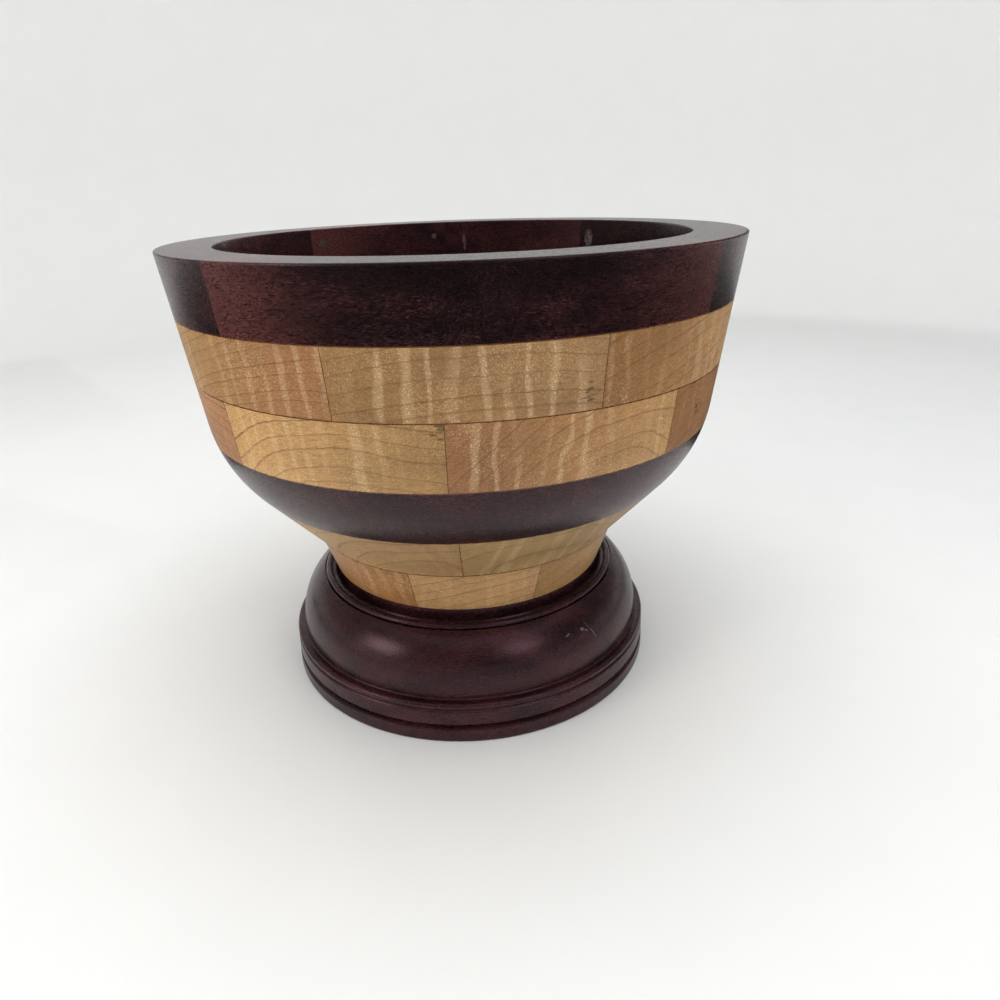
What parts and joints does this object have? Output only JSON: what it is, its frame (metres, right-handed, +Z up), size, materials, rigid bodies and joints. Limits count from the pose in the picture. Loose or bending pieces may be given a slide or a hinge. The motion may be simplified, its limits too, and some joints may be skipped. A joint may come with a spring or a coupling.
{
  "type": "pedestal bowl",
  "caption": "Turned wooden bowl glued up from staggered rings of mitred pale and dark boards, with a flat rim, seated on a moulded dark pedestal.",
  "frame": {"origin": "centre of the pedestal's underside, on the surface that the bowl stands on", "axes": "+Z up along the turning axis; -Y towards the front of the picture; +X to its right"},
  "size_m": [0.182, 0.182, 0.1446],
  "materials": {
    "maple": "satin clear lacquer on figured maple",
    "purpleheart": "satin-gloss clear lacquer on dark purplish brown hardwood"
  },
  "bodies": {
    "root": {"rim_segment_1": "purpleheart", "rim_segment_2": "purpleheart", "rim_segment_3": "purpleheart", "rim_segment_4": "purpleheart", "rim_segment_5": "purpleheart", "rim_segment_6": "purpleheart", "rim_segment_7": "purpleheart", "rim_segment_8": "purpleheart", "upper_maple_segment_1": "maple", "upper_maple_segment_2": "maple", "upper_maple_segment_3": "maple", "upper_maple_segment_4": "maple", "upper_maple_segment_5": "maple", "upper_maple_segment_6": "maple", "upper_maple_segment_7": "maple", "upper_maple_segment_8": "maple", "middle_maple_segment_1": "maple", "middle_maple_segment_2": "maple", "middle_maple_segment_3": "maple", "middle_maple_segment_4": "maple", "middle_maple_segment_5": "maple", "middle_maple_segment_6": "maple", "middle_maple_segment_7": "maple", "middle_maple_segment_8": "maple", "dark_band_segment_1": "purpleheart", "dark_band_segment_2": "purpleheart", "dark_band_segment_3": "purpleheart", "dark_band_segment_4": "purpleheart", "dark_band_segment_5": "purpleheart", "dark_band_segment_6": "purpleheart", "dark_band_segment_7": "purpleheart", "dark_band_segment_8": "purpleheart", "lower_maple_segment_1": "maple", "lower_maple_segment_2": "maple", "lower_maple_segment_3": "maple", "lower_maple_segment_4": "maple", "lower_maple_segment_5": "maple", "lower_maple_segment_6": "maple", "lower_maple_segment_7": "maple", "lower_maple_segment_8": "maple", "foot_maple_segment_1": "maple", "foot_maple_segment_2": "maple", "foot_maple_segment_3": "maple", "foot_maple_segment_4": "maple", "foot_maple_segment_5": "maple", "foot_maple_segment_6": "maple", "foot_maple_segment_7": "maple", "foot_maple_segment_8": "maple", "bowl_floor_disc": "purpleheart", "pedestal_dome": "purpleheart", "pedestal_plate": "purpleheart"}
  },
  "joints": []
}
